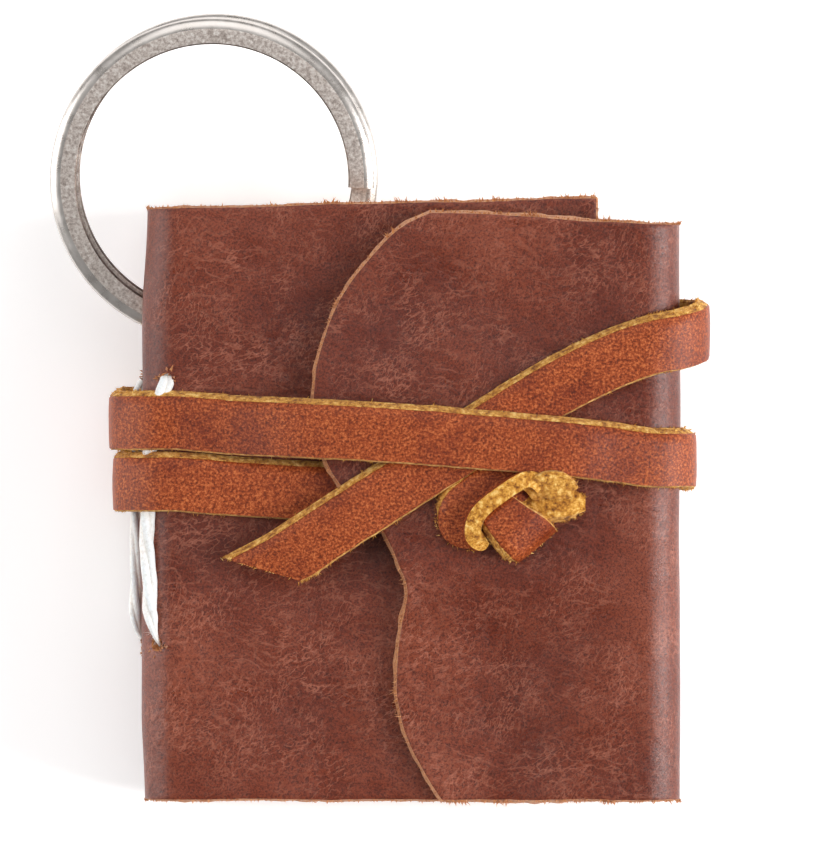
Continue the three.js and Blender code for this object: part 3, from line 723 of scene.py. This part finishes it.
def strap(bm, points, outward, seed, widths=None, slant=0.0, rough=1.0, thickness=1.0, steps=7):
    """Sweeps the strap through the points. outward is a function or a list of ways, one for each point.
    slant skews the end, as a slanting cut does. Its edges wander and carry loose fibres."""
    line = spline(points, steps)
    if callable(outward):
        ways = [outward(p) for p in line]
    else:
        ways = [w.normalized() for w in spline(outward, steps)]
    if widths:
        spans = spline([(w, 0, 0) for w in widths], steps)
    else:
        spans = [Vector((STRAP_WIDTH, 0, 0))] * len(line)
    lengths = [0.0]
    for a, b in zip(line, line[1:]):
        lengths.append(lengths[-1] + (b - a).length)
    sections, fuzz = [], []
    dice = random.Random(seed)
    for i, (p, way) in enumerate(zip(line, ways)):
        along = (line[min(i + 1, len(line) - 1)] - line[max(i - 1, 0)]).normalized()
        side = along.cross(way).normalized()
        up = side.cross(along).normalized()
        run = lengths[i]
        skew = slant * ease(lengths[-1] - 9, lengths[-1], run)
        section = []
        for s, u in STRAP_PROFILE:
            ripple = 0.07 * wander(run, s * 0.3, seed, 1.2) + 0.09 * wander(run, s * 0.3, seed + 4, 5)
            edge = rough * ripple * abs(s) / (STRAP_WIDTH / 2)
            q = p + side * (s * spans[i].x / STRAP_WIDTH + math.copysign(edge, s)) + along * s * skew
            q += up * (u * thickness + 0.035 * rough**2 * wander(run, s, seed + 9, 2.2))
            q.z = max(q.z, 0)  # the table stops it
            section.append(q)
        sections.append(section)
        for k, lean in ((1, -side), (2, -side), (9, side), (10, side), (11, side)):
            tuft = ease(0.05, 0.5, wander(run, k, seed + 2, 1.7))
            for _ in range(int(dice.random() * 1.5 + 3.2 * tuft)):
                nudge = along * dice.uniform(-0.4, 0.4)
                fuzz.append((section[k] + nudge, lean * 0.8 + up * 0.55))
    sweep(bm, sections, STRAP_SLOTS)
    end = sections[-1]
    for _ in range(40 if slant else 0):
        j = dice.randrange(len(end) - 1)
        fuzz.append((end[j].lerp(end[j + 1], dice.random()), along + up * 0.3))
    fray(bm, [f for f in fuzz if f[0].z > 0.5], 0.24, 1, seed + 1, 0.05)  # none against the table


# Oil-tanned leather: orange-brown, and finely mottled because the oil has darkened the pits of its grain.
# The pits are drawn about twice as coarse as they are, so that they show.
oiled_leather, tree, shader, at = start_material(
    "oil-tanned pebbled leather", IOR=1.45, Specular_IOR_Level=0.35
)
mottle = node(tree, "TexNoise", {"Vector": at, "Scale": per_mm(0.22), "Detail": 5, "Roughness": 0.72})
tone = node(
    tree, "ValToRGB", {"Fac": mottle},
    stops=((0.36, "#531c06"), (0.45, "#79300c"), (0.53, "#974219"), (0.63, "#be6a38")),
)
broad = node(tree, "TexNoise", {"Vector": at, "Scale": per_mm(5), "Detail": 5})
shade = node(tree, "ValToRGB", {"Fac": broad}, stops=((0.34, "#d6c3ba"), (0.5, "#ffffff")))
tone = node(tree, "Mix", {0: 1.0, 6: tone, 7: shade}, result=2, data_type="RGBA", blend_type="MULTIPLY")
gleam = node(
    tree, "MapRange", {"Value": mottle, "From Min": 0.3, "From Max": 0.7, "To Min": 0.36, "To Max": 0.56}
)
pebble = node(tree, "TexVoronoi", {"Vector": at, "Scale": per_mm(0.5)}, feature="SMOOTH_F1")
pebble = node(tree, "MapRange", {"Value": pebble, "From Max": 0.5, "To Min": 1, "To Max": 0})
relief = node(tree, "Bump", {"Height": pebble, "Distance": 0.00003, "Strength": 0.5})
relief = node(tree, "Bump", {"Height": mottle, "Distance": 0.00006, "Strength": 0.6, "Normal": relief})
wire_up(tree, shader, {"Base Color": tone, "Roughness": gleam, "Normal": relief})

# The strap's flesh side and cut edges: golden suede, loose and matt, with its nap drawn in coarse tufts.
suede, tree, shader, at = start_material(
    "golden suede", Roughness=0.97, Sheen_Weight=0.1, Sheen_Roughness=0.5
)
nap = node(tree, "TexNoise", {"Vector": at, "Scale": per_mm(0.6), "Detail": 7, "Roughness": 0.74})
tone = node(
    tree, "ValToRGB", {"Fac": nap},
    stops=((0.36, "#693806"), (0.44, "#ad6e1c"), (0.53, "#d59838"), (0.64, "#f6cf7c")),
)
relief = node(tree, "Bump", {"Height": nap, "Distance": 0.0003, "Strength": 0.9})
wire_up(tree, shader, {"Base Color": tone, "Normal": relief})

wrap = bmesh.new()
strap(wrap, WRAP_ROUTE, away_from_core, 21)
wrap = finish_mesh("thong_wrapped_turns", wrap, oiled_leather, suede)
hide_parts("thong_wrap")
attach(wrap, "journal")

tail = bmesh.new()
strap(tail, TAIL_ROUTE, away_from_core, 33, slant=1.0, steps=12)
tail = finish_mesh("thong_tail_end", tail, oiled_leather, suede)
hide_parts("thong_tail")
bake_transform(tail)

# ---- Knot ----
# The thong's other end is knotted where it comes out of the slit. From above it is a round lobe, a turn
# that stands on its edge, a short turn with its grain up, and the cut end with its flesh side up.

LOBE = 3.1  # radius of the lobe's round end
lobe_end = [0, 0.33, 0.62, 0.82, 0.94, 0.995]  # along the lobe from the middle of its round end, in radii
lobe_way = Vector((-0.73, -0.68, 0))

knot = bmesh.new()
strap(  # the lobe
    knot,
    [(34, 29.4, ON_FLAP - 0.1), (32, 27.9, ON_FLAP + 0.05)]
    + [Vector((30.1, 26, ON_FLAP + 0.15 - 0.55 * t**3)) + lobe_way * LOBE * t for t in lobe_end],
    [(0, 0, 1), (0, 0, 1)] + [Vector((-0.7 * t**4, -0.65 * t**4, 1)) for t in lobe_end], 41,
    widths=[4.6, 5.4] + [2 * LOBE * math.sqrt(1 - t * t) for t in lobe_end], rough=0.6,
)
strap(  # the turn on its edge
    knot,
    [(36, 28.7, ON_FLAP + 0.7), (35, 29.15, ON_FLAP + 1.1), (33.8, 28.6, ON_FLAP + 1.25),
     (32.6, 27.8, ON_FLAP + 1.25), (31.4, 26.9, ON_FLAP + 1.2), (30.6, 26.0, ON_FLAP + 1.1),
     (30.15, 24.9, ON_FLAP + 0.95), (30.15, 24, ON_FLAP + 0.8), (30.5, 23.45, ON_FLAP + 0.7),
     (31, 23.7, ON_FLAP + 0.5)],
    [(0.4, 1, 0), (-0.1, 1, 0), (-0.5, 1, 0), (-0.65, 0.8, 0), (-0.7, 0.7, 0), (-0.85, 0.5, 0), (-1, 0.2, 0),
     (-1, -0.25, 0), (-0.5, -1, 0.1), (0.3, -1, 0.2)],
    47, widths=[2.4, 2.8, 3, 3, 3, 3, 2.9, 2.7, 2.3, 2], rough=1.3, thickness=1.2,
)
strap(  # the short turn with its grain up
    knot,
    [(31.8, 27.1, ON_FLAP + 0.8), (32.4, 26.45, ON_FLAP + 1.45), (33.4, 25.45, ON_FLAP + 1.75),
     (34.5, 24.45, ON_FLAP + 1.6), (35.3, 23.7, ON_FLAP + 0.9), (35.6, 23.4, ON_FLAP - 0.2)],
    [(-0.4, 0.4, 0.8), (-0.2, 0.2, 1), (0, 0, 1), (0.25, -0.25, 1), (0.6, -0.6, 0.7), (0.8, -0.8, 0.2)], 53,
    widths=[3.4, 3.6, 4.1, 4.7, 4.9, 4.8], rough=0.8, slant=-0.3,
)
strap(  # the cut end, its lower fold
    knot,
    [(34.4, 26.5, ON_FLAP + 0.2), (35.8, 26.4, ON_FLAP + 0.4), (37.3, 26.6, ON_FLAP + 0.5),
     (38.9, 26.8, ON_FLAP + 0.4), (40.2, 26.8, ON_FLAP + 0.1)],
    [(0, -0.6, -1), (0, -0.5, -1), (0, -0.5, -1), (0, -0.3, -1), (0.2, -0.1, -1)], 59,
    widths=[2.4, 2.6, 2.6, 2.3, 1.2], rough=2.2, steps=12,
)
strap(  # and its upper fold
    knot,
    [(35.3, 28.1, ON_FLAP + 0.7), (36.2, 28.6, ON_FLAP + 1.3), (37.2, 28.8, ON_FLAP + 1.5),
     (38.3, 28.5, ON_FLAP + 1.3), (39, 28.1, ON_FLAP + 0.8)],
    [(0, 0.7, -1), (0, 0.8, -1), (0, 0.6, -1), (0, 0.5, -1), (0.3, 0, -1)], 61,
    widths=[1.6, 2.2, 2.4, 2.1, 1.2], rough=2.4, steps=12,
)
knot = finish_mesh("thong_knot_tied", knot, oiled_leather, suede)
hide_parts("thong_knot")
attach(knot, "journal")

# ---- Table and lights ----
# A plain white table lit a little from beneath, with a large soft light at each side and a paler one
# overhead.

TABLE_SIZE, TABLE_GAP = 4, 0.0002  # metres: the gap is too small to see
SKY_STRENGTH = 0.34

white_table, *_ = start_material(
    "matt white acrylic", Base_Color=linear("#fbfafa"), Roughness=0.8, Emission_Color=linear("#ffffff"),
    Emission_Strength=0.28,
)
bpy.ops.mesh.primitive_plane_add(size=TABLE_SIZE, location=(0, 0, -TABLE_GAP))
table = bpy.context.object
table.name = "table_top"
table.data.materials.append(white_table)

for name, spot, size, power in (  # where it stands and its size in metres, and its power in watts
    ("left softbox", (-0.68, 0.05, 0.27), (0.4, 0.8), 3.8),
    ("right softbox", (0.66, -0.08, 0.4), (0.34, 0.62), 7.6),
    ("overhead light", (0.0, 1.1, 1.5), (1.4, 1.4), 9.5),
):
    light = bpy.data.lights.new(name, "AREA")
    light.shape, light.size, light.size_y, light.energy = "RECTANGLE", *size, power
    lamp = bpy.data.objects.new(name, light)
    lamp.location = spot
    lamp.rotation_euler = (-Vector(spot)).to_track_quat("-Z", "Y").to_euler()
    bpy.context.scene.collection.objects.link(lamp)

sky = bpy.data.worlds.new("studio")
sky.use_nodes = True
sky.node_tree.nodes["Background"].inputs["Color"].default_value = (1, 1, 1, 1)
sky.node_tree.nodes["Background"].inputs["Strength"].default_value = SKY_STRENGTH
bpy.context.scene.world = sky
bpy.context.scene.view_settings.view_transform = "Standard"
